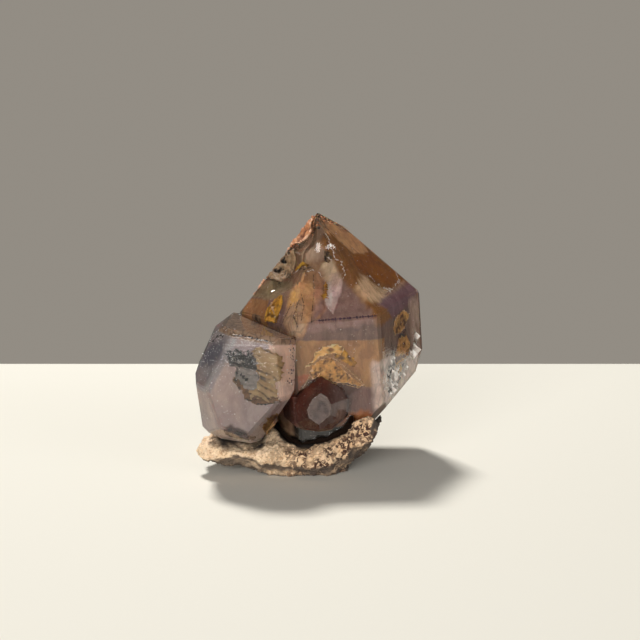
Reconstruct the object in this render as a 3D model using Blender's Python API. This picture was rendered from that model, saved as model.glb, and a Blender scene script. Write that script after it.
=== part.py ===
"""Amethyst cluster: a stout quartz point, a side crystal and a small foot crystal on a piece of host rock.

Run with: blender --background --python part.py
Metres, +Z up, +X to the right and -Y to the front. The origin is the middle of the bounding box's underside.
Each crystal is a block cut by its crystal faces, so its shape is a short list of face directions and distances.
"""

import math

import bmesh
import bpy
from mathutils import Matrix, Vector, noise
from mathutils.bvhtree import BVHTree

MM = 0.001
SEAT_GAP = 0.35 * MM  # clearance between pieces that grew against each other
BLOCK_SIDE = 90 * MM

# The stout point. Its shoulder is the level where the prism ends and the tip begins.
POINT_SHOULDER = Vector((5.0, 3.0, 29.6)) * MM
POINT_LEAN_LEFT = math.radians(4.0)
POINT_LEAN_FORWARD = math.radians(2.0)
POINT_TURN = math.radians(7.0)
TIP_SLOPE = 51.8  # degrees between a rhombohedral face of quartz and its base
POINT_ROOT = 22.5 * MM  # how far the prism runs down from the shoulder

# azimuth from the front in degrees, prism face and tip face distances in mm, tip face slope in degrees
POINT_SIDES = [
    (0, 14.0, 14.0, TIP_SLOPE),
    (60, 12.6, 13.0, 50.0),
    (120, 16.9, 16.6, 49.0),
    (180, 14.0, 14.4, TIP_SLOPE),
    (240, 15.6, 15.8, TIP_SLOPE),
    (300, 15.6, 15.8, TIP_SLOPE),
]

# Breaks that take corners off the stout point: a point on each, in mm, and its direction.
POINT_BREAKS = [
    ((21.2, 0.0, 20.0), (0.95, -0.1, -0.28)),
    ((21.2, 7.2, 16.3), (0.75, -0.17, -0.65)),
    ((-14.0, 6.0, 14.0), (-0.82, 0.1, -0.56)),
    ((4.0, 16.0, 12.0), (0.05, 0.85, -0.52)),
]

# Shell-shaped chips in the tip: azimuth, height on the axis above the shoulder, ball radius and depth in mm.
POINT_CHIPS = [
    (-24.0, 7.6, 8.5, 1.5),
    (-9.0, 9.6, 4.6, 0.9),
    (-58.0, 6.2, 7.0, 1.3),
    (-62.0, 12.6, 5.0, 0.7),
    (64.0, 4.2, 5.2, 0.7),
]
CHIP_SQUASH = 0.82

SIDE_CENTRE = Vector((-11.6, -9.0, 17.8)) * MM

# azimuth and rise in degrees and distance in mm of the side crystal's faces from its centre
SIDE_FACES = [
    (-5, 3, 8.0),  # the broad face
    (-90, -6, 8.5),
    (-90, 25, 8.8),
    (-95, 55, 10.6),
    (96, 80, 10.1),
    (90, -2, 9.2),
    (90, -32, 8.1),
    (0, -88, 10.5),
    (-90, -58, 11.0),
    (-52, 22, 9.2),
    (-56, -14, 9.5),
    (12, 58, 12.2),
    (48, 8, 10.7),
    (50, -34, 10.0),
    (-30, -54, 11.2),
    (180, 14, 13.0),
    (-134, 8, 10.9),
    (180, -40, 12.0),
]

# The foot crystal points out to the front. Around its axis: the angle of each side clockwise from the top, its
# distance, and the distance at the end face of the slope that runs out to it, all seen from the front.
FOOT_CENTRE = Vector((1.8, -11.2, 13.0)) * MM
FOOT_END = 4.4 * MM
FOOT_ROOT = 3.6 * MM
FOOT_RISE = 5.0
FOOT_SIDES = [
    (-35, 4.6, 2.5),
    (-61, 5.2, 1.95),
    (-99, 6.2, 1.85),
    (-147, 4.9, 1.9),
    (139, 4.6, 2.0),
    (97, 5.6, 2.3),
    (63, 5.8, 2.8),
    (33, 5.4, 3.2),
    (180, 3.9, 2.7),
]
FOOT_SLOPE = 52.0  # degrees between an end slope and the end face

# The host rock: half sizes, the level of its widest edge, and how square its corners are.
ROCK_CENTRE = Vector((-3.8, 0.4, 4.2)) * MM
ROCK_HALF_LENGTH = 17.0 * MM
ROCK_HALF_DEPTH = 14.6 * MM
ROCK_SQUARE = 3.2
ROCK_LOW_TOP = 2.0 * MM  # top above the widest edge, along the front
ROCK_BACK_RISE = 6.6 * MM
ROCK_RIM_RISE = 5.6 * MM
ROCK_LUMP = 1.5 * MM
ROCK_LUMP_SIZE = 6.5 * MM
ROCK_GRIT = 0.55 * MM
ROCK_GRIT_SIZE = 1.9 * MM
ROCK_SUNK = 2.6 * MM  # how far the slab reaches below the level where it is cut flat
END_SUNK = 5.0 * MM  # how much further the right-hand end reaches below that level
END_UNDERCUT = 4.9 * MM
FRONT_UNDERCUT = 2.6 * MM
TONGUE_LIFT = 4.2 * MM
ROCK_SEED = Vector((3.7, 9.1, 1.3))

# A lump of the host rock that rises before the stout point's right foot: its half sizes, and its lean to the right.
LUMP_CENTRE = Vector((9.9, -10.8, 8.4)) * MM
LUMP_HALF = Vector((2.3, 2.4, 3.4))
LUMP_LEAN = math.radians(40.0)


def clear_scene():
    for old in list(bpy.data.objects):
        bpy.data.objects.remove(old, do_unlink=True)


def make_collection(name):
    made = bpy.data.collections.new(name)
    bpy.context.scene.collection.children.link(made)
    return made


def make_material(name, colour, roughness, transmission=0.0, ior=1.5):
    made = bpy.data.materials.new(name)
    made.use_nodes = True
    made.diffuse_color = (*colour, 1.0)
    shader = made.node_tree.nodes["Principled BSDF"]
    shader.inputs["Base Color"].default_value = (*colour, 1.0)
    shader.inputs["Roughness"].default_value = roughness
    shader.inputs["Metallic"].default_value = 0.0
    shader.inputs["Transmission Weight"].default_value = transmission
    shader.inputs["IOR"].default_value = ior
    return made


def add_object(name, shape, collection, material=None):
    """Turns a bmesh into a named object in the collection, and frees the bmesh."""
    mesh = bpy.data.meshes.new(name)
    bmesh.ops.recalc_face_normals(shape, faces=shape.faces)
    shape.to_mesh(mesh)
    shape.free()
    made = bpy.data.objects.new(name, mesh)
    collection.objects.link(made)
    if material is not None:
        mesh.materials.append(material)
    return made


def add_cutter(name, shape, collection):
    cutter = add_object(name, shape, collection)
    cutter.hide_render = True
    cutter.display_type = "WIRE"
    return cutter


def heading(azimuth, rise):
    """Unit vector at an azimuth from the front (-Y) towards the right (+X), and a rise above level, in degrees."""
    a, e = math.radians(azimuth), math.radians(rise)
    return Vector((math.sin(a) * math.cos(e), -math.cos(a) * math.cos(e), math.sin(e)))


def slice_off(block, point, normal):
    """Cuts everything on the normal's side off a convex block and closes the cut with one face."""
    everything = block.verts[:] + block.edges[:] + block.faces[:]
    cut = bmesh.ops.bisect_plane(block, geom=everything, plane_co=point, plane_no=normal, clear_outer=True)
    rim = [item for item in cut["geom_cut"] if isinstance(item, bmesh.types.BMEdge)]
    if rim:
        bmesh.ops.contextual_create(block, geom=rim)


def cut_block(faces, grow=0.0):
    """A block around the origin cut by (unit normal, distance) faces, each moved out by grow."""
    block = bmesh.new()
    bmesh.ops.create_cube(block, size=BLOCK_SIDE)
    for normal, distance in faces:
        slice_off(block, normal * (distance + grow), normal)
    return block


def listed_block(faces, centre, grow):
    block = cut_block([(heading(azimuth, rise), distance * MM) for azimuth, rise, distance in faces], grow)
    block.transform(Matrix.Translation(centre))
    return block


def point_block(grow=0.0):
    """The stout point: six prism faces, six tip faces and a root, stood on its leaning axis and then broken."""
    faces = [(heading(0, -90), POINT_ROOT)]
    for azimuth, prism, tip, slope in POINT_SIDES:
        faces.append((heading(azimuth, 0), prism * MM))
        faces.append((heading(azimuth, 90 - slope), tip * MM * math.sin(math.radians(slope))))
    block = cut_block(faces, grow)
    turn = Matrix.Rotation(POINT_TURN, 4, "Z")
    lean_forward = Matrix.Rotation(POINT_LEAN_FORWARD, 4, "X")
    lean_left = Matrix.Rotation(-POINT_LEAN_LEFT, 4, "Y")
    block.transform(Matrix.Translation(POINT_SHOULDER) @ lean_left @ lean_forward @ turn)
    for point, direction in POINT_BREAKS:
        normal = Vector(direction).normalized()
        slice_off(block, Vector(point) * MM + normal * grow, normal)
    return block


def side_block(grow=0.0):
    return listed_block(SIDE_FACES, SIDE_CENTRE, grow)


def foot_block(grow=0.0):
    rise = Matrix.Rotation(math.radians(-FOOT_RISE), 3, "X")
    outward = rise @ Vector((0, -1, 0))
    faces = [(outward, FOOT_END), (-outward, FOOT_ROOT)]
    tilt = math.radians(FOOT_SLOPE)
    for angle, distance, at_end in FOOT_SIDES:
        a = math.radians(angle)
        side = rise @ Vector((math.sin(a), 0, math.cos(a)))
        faces.append((side, distance * MM))
        slope = side * math.sin(tilt) + outward * math.cos(tilt)
        faces.append((slope, at_end * MM * math.sin(tilt) + FOOT_END * math.cos(tilt)))
    block = cut_block(faces, grow)
    block.transform(Matrix.Translation(FOOT_CENTRE))
    return block


def point_chips(block):
    """Squashed balls that bite into the tip, each where a line from the axis at its height leaves the block."""
    tree = BVHTree.FromBMesh(block)
    chips = []
    for azimuth, height, radius, depth in POINT_CHIPS:
        start = POINT_SHOULDER + Vector((-math.tan(POINT_LEAN_LEFT), 0, 1)) * height * MM
        surface, normal, _, _ = tree.ray_cast(start, heading(azimuth, 4))
        ball = bmesh.new()
        bmesh.ops.create_icosphere(ball, subdivisions=4, radius=radius * MM)
        for vert in ball.verts:
            ripple = noise.noise(vert.co.normalized() * 2.2 + Vector((azimuth, height, 0)))
            vert.co *= 1 + 0.05 * ripple
        along = normal.to_track_quat("Z", "Y").to_matrix().to_4x4()
        squash = Matrix.Diagonal((1, 1, CHIP_SQUASH, 1))
        centre = surface + normal * (radius * CHIP_SQUASH - depth) * MM
        ball.transform(Matrix.Translation(centre) @ along @ squash)
        chips.append(ball)
    return chips


def smooth_step(low, high, value):
    t = min(max((value - low) / (high - low), 0), 1)  # low may be the greater one
    return t * t * (3 - 2 * t)


def rock_shape():
    """The host rock before the crystals are let into it: a rounded slab with a low front, a high back and a tongue."""
    rock = bmesh.new()
    bmesh.ops.create_icosphere(rock, subdivisions=5, radius=1.0)
    for vert in rock.verts:
        d = vert.co
        d = d / (abs(d.x) ** ROCK_SQUARE + abs(d.y) ** ROCK_SQUARE + abs(d.z) ** ROCK_SQUARE) ** (1 / ROCK_SQUARE)
        x = ROCK_CENTRE.x + ROCK_HALF_LENGTH * d.x
        tongue = smooth_step(-5 * MM, -17 * MM, x)
        y = ROCK_CENTRE.y - 5.5 * MM * tongue + ROCK_HALF_DEPTH * (1 - 0.5 * tongue) * d.y
        back = smooth_step(-9.5 * MM, -2.0 * MM, y) * (1 - tongue) * (1 - smooth_step(8 * MM, 15 * MM, y) * 0.6)
        rim = smooth_step(3.0 * MM, 10.5 * MM, x)
        above = ROCK_LOW_TOP + ROCK_BACK_RISE * back * (1 - 0.35 * rim) + ROCK_RIM_RISE * rim
        below = ROCK_CENTRE.z + ROCK_SUNK + END_SUNK * rim - TONGUE_LIFT * tongue
        z = ROCK_CENTRE.z + d.z * (above if d.z > 0 else below)
        # The right-hand end and the front are undercut.
        x -= END_UNDERCUT * smooth_step(-5.0 * MM, 13.0 * MM, x) * smooth_step(9.5 * MM, 0.0, z)
        low_front = smooth_step(4.0 * MM, -0.5 * MM, z) * smooth_step(-4.0 * MM, -12.0 * MM, y)
        y += FRONT_UNDERCUT * low_front * smooth_step(9.0 * MM, -3.0 * MM, x)
        vert.co = (x, y, z)
    rock.normal_update()
    for vert in rock.verts:
        where = vert.co
        lump = noise.fractal(where / ROCK_LUMP_SIZE + ROCK_SEED, 1.0, 2.0, 2) * ROCK_LUMP
        grit = noise.noise(where / ROCK_GRIT_SIZE + ROCK_SEED) * ROCK_GRIT
        vert.co = where + vert.normal * (lump + grit)
    slice_off(rock, Vector((0, 0, 0)), Vector((0, 0, -1)))
    bmesh.ops.triangulate(rock, faces=rock.faces)
    return rock


def lump_shape():
    lump = bmesh.new()
    bmesh.ops.create_icosphere(lump, subdivisions=4, radius=1.0)
    turn = Matrix.Rotation(LUMP_LEAN, 3, "Y")
    for vert in lump.verts:
        rough = 1 + 0.22 * noise.noise(vert.co * 1.9 + ROCK_SEED)
        half = Vector([rough * a * b for a, b in zip(vert.co, LUMP_HALF)]) * MM
        vert.co = LUMP_CENTRE + turn @ half
    return lump


def combine(made, others, operation):
    """Joins helper objects to a piece, or cuts them out of it, and keeps the result as its plain mesh."""
    for other in others:
        modifier = made.modifiers.new(other.name, "BOOLEAN")
        modifier.operation = operation
        modifier.solver = "EXACT"
        modifier.object = other
    view = bpy.context.evaluated_depsgraph_get()
    view.update()
    result = bpy.data.meshes.new_from_object(made.evaluated_get(view), depsgraph=view)
    made.modifiers.clear()
    material = made.data.materials[0]
    made.data = result
    result.materials.clear()
    result.materials.append(material)
    for polygon in result.polygons:
        polygon.material_index = 0


def drop_all(helpers):
    for helper in helpers:
        bpy.data.objects.remove(helper, do_unlink=True)


def rest_on_middle(pieces):
    """Moves every piece so that the origin is the middle of the whole box's underside."""
    corners = [vert.co for piece in pieces for vert in piece.data.vertices]
    low = Vector([min(c[i] for c in corners) for i in range(3)])
    high = Vector([max(c[i] for c in corners) for i in range(3)])
    shift = Matrix.Translation((-(low.x + high.x) / 2, -(low.y + high.y) / 2, -low.z))
    for piece in pieces:
        piece.data.transform(shift)


def main():
    clear_scene()
    parts = make_collection("amethyst_cluster")
    cutters = make_collection("cutters")
    quartz = make_material("smoky_amethyst", (0.45, 0.33, 0.33), 0.05, 0.9, 1.544)
    frosted = make_material("pale_amethyst", (0.55, 0.48, 0.52), 0.25, 0.8, 1.544)
    stained = make_material("stained_quartz", (0.30, 0.13, 0.09), 0.12, 0.6, 1.544)
    stone = make_material("host_rock", (0.50, 0.36, 0.23), 0.9)

    point = point_block()
    chips = [add_cutter(f"chip_{i}", chip, cutters) for i, chip in enumerate(point_chips(point))]
    main_crystal = add_object("main_crystal", point, parts, quartz)
    left_crystal = add_object("left_crystal", side_block(), parts, frosted)
    front_crystal = add_object("front_crystal", foot_block(), parts, stained)
    host_rock = add_object("host_rock", rock_shape(), parts, stone)

    point_room = add_cutter("point_room", point_block(SEAT_GAP), cutters)
    side_room = add_cutter("side_room", side_block(SEAT_GAP), cutters)
    foot_room = add_cutter("foot_room", foot_block(SEAT_GAP), cutters)
    lump = add_cutter("lump", lump_shape(), cutters)
    combine(main_crystal, chips, "DIFFERENCE")
    combine(left_crystal, [point_room], "DIFFERENCE")
    combine(front_crystal, [point_room, side_room], "DIFFERENCE")
    combine(host_rock, [lump], "UNION")
    combine(host_rock, [point_room, side_room, foot_room], "DIFFERENCE")
    drop_all(chips + [lump, point_room, side_room, foot_room])
    rest_on_middle([main_crystal, left_crystal, front_crystal, host_rock])


main()
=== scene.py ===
import math
import random

import bmesh
import bpy
import numpy as np
from mathutils import Matrix, Vector, noise
from mathutils.bvhtree import BVHTree


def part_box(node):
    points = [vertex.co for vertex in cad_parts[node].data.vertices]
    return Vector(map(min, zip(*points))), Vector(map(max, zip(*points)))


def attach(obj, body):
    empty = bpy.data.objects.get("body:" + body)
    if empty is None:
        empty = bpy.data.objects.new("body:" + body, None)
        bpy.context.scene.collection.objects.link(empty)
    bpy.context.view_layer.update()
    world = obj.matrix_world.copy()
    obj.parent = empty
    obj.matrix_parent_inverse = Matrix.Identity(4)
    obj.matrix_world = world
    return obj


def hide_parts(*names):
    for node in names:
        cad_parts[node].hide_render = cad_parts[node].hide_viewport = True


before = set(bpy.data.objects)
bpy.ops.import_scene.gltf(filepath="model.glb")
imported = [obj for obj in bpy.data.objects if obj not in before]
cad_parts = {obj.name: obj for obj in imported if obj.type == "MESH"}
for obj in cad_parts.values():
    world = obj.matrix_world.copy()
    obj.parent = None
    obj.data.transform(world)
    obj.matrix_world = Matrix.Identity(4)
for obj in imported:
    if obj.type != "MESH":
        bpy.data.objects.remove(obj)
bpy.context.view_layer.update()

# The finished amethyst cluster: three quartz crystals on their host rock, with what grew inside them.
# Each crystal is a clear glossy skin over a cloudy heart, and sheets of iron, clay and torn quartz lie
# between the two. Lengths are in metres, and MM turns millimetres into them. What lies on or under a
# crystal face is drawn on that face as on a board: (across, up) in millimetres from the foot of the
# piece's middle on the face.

MM = 0.001
QUARTZ_IOR = 1.544
CRYSTALS = ("main_crystal", "left_crystal", "front_crystal")

# How deep the cloudy heart lies under the faces of each crystal, in mm, and what share of that it has on
# the faces turned away from the front.
POINT_SKIN = 1.05
SIDE_SKIN = 0.95
FOOT_SKIN = 0.75
BACK_SKIN = 0.4

FACE_RAY = 6.0  # how far outside a face to start looking for its surface, in mm
DEEPEST_CHIP = 4.5
SAME_WAY = 0.98  # the least dot product of two directions that are taken as one
MERGE = 0.002 * MM
FLAT = math.radians(0.6)  # faces that meet at less than this are one face
CREASE = math.radians(12)  # edges sharper than this are worn
SMALLEST_FACE = 3.0 * MM * MM  # smaller ones are chips, not crystal faces
MOST_ROUNDS = 14  # of dividing a mesh's edges

ALONG_GROWTH = (1, 1, 0.45)  # a scale that draws a pattern out upwards

ROCK_MESH = 0.24 * MM
ROCK_SEED = 7
ROCK_FOOT = 0.25 * MM  # what lies lower than this is pressed flat onto the ground
UPWARDS = Vector((0, -0.35, 1)).normalized()  # towards the light that the crystals keep from the rock
SHADE_REACH = 6 * MM
NO_SHADE = 9.0

FLOOR_SIZE = Vector((0.8, 0.384, 0.004))
FLOOR_CENTRE = Vector((0, -0.108, -0.0021))
LAMP_DISTANCE = 0.8
LENS = 89.8
CAMERA_TARGET = Vector((1.42, -0.5, 27.2)) * MM
CAMERA_DISTANCE = 0.30
CAMERA_RISE = math.radians(11)

noise.seed_set(ROCK_SEED)  # without it the crumbs of the rock would fall differently in each run


# ---------------------------------------------------------------- node helpers

def put(tree, kind, inputs=None, **settings):
    """Adds a node. An input is a value, or the socket that feeds it."""
    node = tree.nodes.new(kind)
    for name, value in settings.items():
        setattr(node, name, value)
    for name, value in (inputs or {}).items():
        if isinstance(value, bpy.types.NodeSocket):
            tree.links.new(value, node.inputs[name])
        else:
            node.inputs[name].default_value = value
    return node


def new_material(name):
    made = bpy.data.materials.new(name)
    made.use_nodes = True
    made.node_tree.nodes.clear()
    return made, made.node_tree


def place_of(tree, scale=(1, 1, 1)):
    coords = put(tree, "ShaderNodeTexCoord")
    mapping = put(tree, "ShaderNodeMapping", {"Vector": coords.outputs["Object"], "Scale": scale})
    return mapping.outputs["Vector"]


def grain(tree, where, size, detail=3.0, rough=0.55, warp=0.0):
    """Noise whose blotches are about size metres across, from 0 to 1."""
    made = put(tree, "ShaderNodeTexNoise", {"Vector": where, "Scale": 1 / size, "Detail": detail,
                                            "Roughness": rough, "Distortion": warp})
    return made.outputs["Fac"]


def crazing(tree, where, size):
    """Distance to the nearest crack of a crazed pattern, in parts of size."""
    made = put(tree, "ShaderNodeTexVoronoi", {"Vector": where, "Scale": 1 / size},
               feature="DISTANCE_TO_EDGE")
    return made.outputs["Distance"]


def fade(tree, value, low, high, out_low=0.0, out_high=1.0):
    """Goes smoothly from out_low to out_high as the value goes from low to high."""
    limits = {"From Min": low, "From Max": high, "To Min": out_low, "To Max": out_high}
    made = put(tree, "ShaderNodeMapRange", {"Value": value, **limits}, interpolation_type="SMOOTHSTEP")
    return made.outputs["Result"]


def times(tree, first, second):
    return put(tree, "ShaderNodeMath", {0: first, 1: second}, operation="MULTIPLY").outputs[0]


def blend_colours(tree, amount, first, second, kind="MIX"):
    made = put(tree, "ShaderNodeMix", data_type="RGBA", blend_type=kind)
    for index, value in ((0, amount), (6, first), (7, second)):
        if isinstance(value, bpy.types.NodeSocket):
            tree.links.new(value, made.inputs[index])
        else:
            made.inputs[index].default_value = value if index == 0 else (*value, 1.0)
    return made.outputs[2]


def raised(tree, height, depth, strength=1.0, under=None):
    made = put(tree, "ShaderNodeBump", {"Height": height, "Distance": depth, "Strength": strength})
    if under is not None:
        tree.links.new(under, made.inputs["Normal"])
    return made.outputs["Normal"]


def attribute(tree, name):
    return put(tree, "ShaderNodeAttribute", attribute_name=name)


def finish_material(made, tree, shader, volume=None):
    out = put(tree, "ShaderNodeOutputMaterial", {"Surface": shader.outputs[0]})
    if volume is not None:
        tree.links.new(volume.outputs[0], out.inputs["Volume"])
    return made


# ---------------------------------------------------------------- materials

def skin_material(name, tint, murk, density, roughness):
    """The clear skin of a crystal: growth lines and shallow hills on its faces, and near the rock grime and
    painted shade that blacken it, stop light through it and dim its reflections, over glass that soaks up
    light."""
    made, tree = new_material(name)
    lines = grain(tree, place_of(tree, scale=(0.2, 0.2, 3.0)), 1.4 * MM, detail=4)
    hills = grain(tree, place_of(tree), 2.6 * MM, detail=3)
    bumps = raised(tree, lines, 0.03 * MM, 0.35, raised(tree, hills, 0.12 * MM, 0.3))
    worn = grain(tree, place_of(tree), 1.1 * MM, detail=5)
    wear = fade(tree, worn, 0.45, 0.75, roughness, roughness + 0.10)
    # Near the rock the skin goes near-black, partly grime and partly painted shade; the same mask dims its
    # reflections as painted shade and stops light through its glass.
    dirt_and_shade = attribute(tree, "dirt_and_shade").outputs["Fac"]
    colour = blend_colours(tree, fade(tree, dirt_and_shade, 0.0, 0.35), tint, (0.012, 0.007, 0.005))
    matt = put(tree, "ShaderNodeMath", {0: wear, 1: dirt_and_shade}, operation="MAXIMUM").outputs[0]
    grit = times(tree, dirt_and_shade, grain(tree, place_of(tree), 0.5 * MM, detail=4))
    reflection_shade = blend_colours(tree, fade(tree, dirt_and_shade, 0.0, 0.3), (1.0, 1.0, 1.0), (0.06, 0.045, 0.03))
    clear = fade(tree, dirt_and_shade, 0.35, 1.0, 1.0, 0.0)
    shader = put(tree, "ShaderNodeBsdfPrincipled", {"Base Color": colour, "IOR": QUARTZ_IOR,
                                                    "Roughness": matt, "Transmission Weight": clear,
                                                    "Specular Tint": reflection_shade,
                                                    "Normal": raised(tree, grit, 0.5 * MM, 0.9, bumps)})
    body = put(tree, "ShaderNodeVolumeAbsorption", {"Color": (*murk, 1), "Density": density})
    return finish_material(made, tree, shader, body)


def heart_material(name, shade, size):
    """The cloudy heart of a crystal: its stain, drawn out in wisps along the growth, and dark crazing."""
    made, tree = new_material(name)
    stain = attribute(tree, "stain").outputs["Color"]
    cloud = grain(tree, place_of(tree, scale=ALONG_GROWTH), size, detail=6, rough=0.62, warp=0.8)
    wisps = fade(tree, cloud, 0.3, 0.72)
    colour = blend_colours(tree, wisps, stain, blend_colours(tree, 1.0, stain, shade, "MULTIPLY"))
    dust = fade(tree, grain(tree, place_of(tree), 0.45 * MM, detail=3), 0.62, 0.72, 0.0, 0.35)
    colour = blend_colours(tree, dust, colour, (0.70, 0.58, 0.50))
    edge = fade(tree, crazing(tree, place_of(tree, scale=(1, 1, 0.55)), 1.5 * MM), 0.02, 0.10, 1.0, 0.0)
    crazed = times(tree, edge, attribute(tree, "crazed").outputs["Fac"])
    colour = blend_colours(tree, crazed, colour, (0.03, 0.018, 0.014))
    veins = grain(tree, place_of(tree, scale=ALONG_GROWTH), size * 0.5, detail=5)
    shader = put(tree, "ShaderNodeBsdfPrincipled", {"Base Color": colour, "Roughness": 0.5,
                                                    "Subsurface Weight": 0.25, "Subsurface Scale": 1.2 * MM,
                                                    "Normal": raised(tree, veins, 0.3 * MM, 0.6)})
    return finish_material(made, tree, shader)


def mineral_material(name, light, dark, size, hollow_shade, rim=None, matt=0.5, deep=0.2):
    """Opaque matter grown into the quartz, in two tones, with painted shade in the hollows of its relief
    and perhaps another colour on its torn rim."""
    made, tree = new_material(name)
    where = place_of(tree)
    tone = fade(tree, grain(tree, where, size, detail=5, rough=0.62, warp=0.4), 0.32, 0.68)
    colour = blend_colours(tree, tone, dark, light)
    # Painted shade: the low parts of the relief take the colour given for hollows.
    depth = fade(tree, attribute(tree, "relief").outputs["Fac"], 0.1, 0.55, 1.0, 0.0)
    colour = blend_colours(tree, depth, colour, hollow_shade)
    if rim is not None:
        torn = fade(tree, attribute(tree, "rim").outputs["Fac"], 0.35, 0.9)
        colour = blend_colours(tree, torn, colour, rim)
    crumbs = grain(tree, where, size * 0.3, detail=4, rough=0.7)
    shader = put(tree, "ShaderNodeBsdfPrincipled", {"Base Color": colour, "Roughness": matt,
                                                    "Subsurface Weight": 0.15, "Subsurface Scale": 1.0 * MM,
                                                    "Normal": raised(tree, crumbs, deep * MM, 0.8)})
    return finish_material(made, tree, shader)


def plain_mineral(name, light, dark, size, matt=0.4):
    """Matter too thin to have hollows: strips, flecks and grains."""
    made, tree = new_material(name)
    where = place_of(tree)
    tone = fade(tree, grain(tree, where, size, detail=4), 0.35, 0.65)
    colour = blend_colours(tree, tone, dark, light)
    crumbs = grain(tree, where, size * 0.4, detail=3)
    shader = put(tree, "ShaderNodeBsdfPrincipled", {"Base Color": colour, "Roughness": matt,
                                                    "Normal": raised(tree, crumbs, 0.12 * MM, 0.7)})
    return finish_material(made, tree, shader)


def rock_material():
    made, tree = new_material("granular host rock")
    where = place_of(tree)
    patches = fade(tree, grain(tree, where, 5 * MM, detail=6, rough=0.68), 0.36, 0.64)
    colour = blend_colours(tree, patches, (0.82, 0.57, 0.35), (1.0, 0.78, 0.53))
    pink = fade(tree, grain(tree, place_of(tree, scale=(1, 1, 1.6)), 4.4 * MM, detail=2), 0.5, 0.7, 0, 0.5)
    colour = blend_colours(tree, pink, colour, (0.90, 0.66, 0.50))
    sugar = fade(tree, grain(tree, where, 0.5 * MM, detail=4, rough=0.7), 0.42, 0.66, 0.0, 0.55)
    colour = blend_colours(tree, sugar, colour, (1.0, 0.84, 0.62))
    pores = fade(tree, grain(tree, where, 0.6 * MM, detail=2), 0.34, 0.44, 0.6, 0.0)
    colour = blend_colours(tree, pores, colour, (0.38, 0.20, 0.09))
    specks = fade(tree, grain(tree, where, 0.75 * MM, detail=3, warp=0.6), 0.45, 0.51)
    dirt_and_shade = fade(tree, grain(tree, where, 3.4 * MM, detail=3), 0.38, 0.55, 0.35, 1.0)
    stained = attribute(tree, "stained").outputs["Fac"]
    colour = blend_colours(tree, times(tree, stained, 0.45), colour, (0.62, 0.36, 0.17))
    amount = times(tree, times(tree, specks, dirt_and_shade), stained)
    colour = blend_colours(tree, amount, colour, (0.055, 0.020, 0.012))
    # Painted shade: the rock darkens where its crumbs are deep, between the grains.
    hollow_shade = fade(tree, attribute(tree, "relief").outputs["Fac"], 0.03, 0.16, 0.55, 0.0)
    colour = blend_colours(tree, hollow_shade, colour, (0.30, 0.17, 0.09))
    # Painted shade: the right end of the rock and its undersides are darkened.
    end_shade = attribute(tree, "end_and_underside_shade").outputs["Fac"]
    colour = blend_colours(tree, end_shade, colour, (0.10, 0.075, 0.06))
    # Painted shade: near black in the crevices where the crystals overhang the rock closely or touch it.
    crevice_shade = attribute(tree, "crevice_shade").outputs["Fac"]
    colour = blend_colours(tree, crevice_shade, colour, (0.02, 0.012, 0.008))
    crumbs = grain(tree, where, 0.35 * MM, detail=4, rough=0.75)
    shader = put(tree, "ShaderNodeBsdfPrincipled", {"Base Color": colour, "Roughness": 0.85,
                                                    "Normal": raised(tree, crumbs, 0.25 * MM, 0.8)})
    return finish_material(made, tree, shader)


# ---------------------------------------------------------------- mesh helpers

def add_mesh(name, mesh):
    made = bpy.data.objects.new(name, mesh)
    bpy.context.scene.collection.objects.link(made)
    return made


def as_object(name, shape):
    mesh = bpy.data.meshes.new(name)
    shape.to_mesh(mesh)
    shape.free()
    return add_mesh(name, mesh)


def whole_faces(name):
    """A bmesh of a CAD piece with its loose triangles joined up again into whole faces."""
    shape = bmesh.new()
    shape.from_mesh(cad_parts[name].data)
    bmesh.ops.remove_doubles(shape, verts=shape.verts, dist=MERGE)
    bmesh.ops.dissolve_limit(shape, angle_limit=FLAT, verts=shape.verts, edges=shape.edges)
    return shape


def surface_of(name):
    """A CAD piece's surface, for finding the nearest place on it or what a line meets first."""
    shape = whole_faces(name)
    surface = BVHTree.FromBMesh(shape)
    shape.free()
    return surface


def bake_modifiers(made):
    view = bpy.context.evaluated_depsgraph_get()
    view.update()
    result = bpy.data.meshes.new_from_object(made.evaluated_get(view), depsgraph=view)
    made.modifiers.clear()
    made.data = result


def finish_piece(made, material, slot, *nodes):
    made.data.materials.clear()
    made.data.materials.append(material)
    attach(made, "root")
    if nodes:
        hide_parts(*nodes)
    return made


def places_of(mesh):
    places = np.empty(len(mesh.vertices) * 3)
    mesh.vertices.foreach_get("co", places)
    return places.reshape(-1, 3)


def facing_front(mesh):
    """1 at the points of a mesh that face the front, 0 at those that face away."""
    return step_up(-0.05, -0.3, np.array([vert.normal.y for vert in mesh.vertices]))


def store(mesh, name, values):
    """Keeps one number, or one colour, for each point of a mesh, for its material to read."""
    values = np.asarray(values, np.float32)
    if values.ndim == 1:
        mesh.attributes.new(name, "FLOAT", "POINT").data.foreach_set("value", values)
    else:
        full = np.ones((len(values), 4), np.float32)
        full[:, :3] = values
        mesh.attributes.new(name, "FLOAT_COLOR", "POINT").data.foreach_set("color", full.ravel())


def soft_noise(places, size, seed=0.0):
    """Smooth noise from -1 to 1 at each place, in blotches of about size."""
    shift = Vector((seed * 3.1, seed * 7.7, seed * 1.9))
    return np.array([noise.noise(Vector(p) / size + shift) for p in places])


def step_up(low, high, values):
    t = np.clip((values - low) / (high - low), 0, 1)
    return t * t * (3 - 2 * t)


def inside_by(points, outline):
    """How far each point lies inside an outline; outside it is below 0."""
    corners = np.asarray(outline, float)
    ends = np.roll(corners, -1, axis=0)
    nearest = np.full(len(points), np.inf)
    odd = np.zeros(len(points), bool)
    for a, b in zip(corners, ends):
        along = b - a
        t = np.clip(((points - a) @ along) / max(along @ along, 1e-12), 0, 1)
        nearest = np.minimum(nearest, np.linalg.norm(points - (a + t[:, None] * along), axis=1))
        crosses = (a[1] > points[:, 1]) != (b[1] > points[:, 1])
        if crosses.any():
            x = a[0] + (points[:, 1] - a[1]) * along[0] / (along[1] if along[1] else 1e-12)
            odd ^= crosses & (points[:, 0] < x)
    return np.where(odd, nearest, -nearest)


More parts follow.
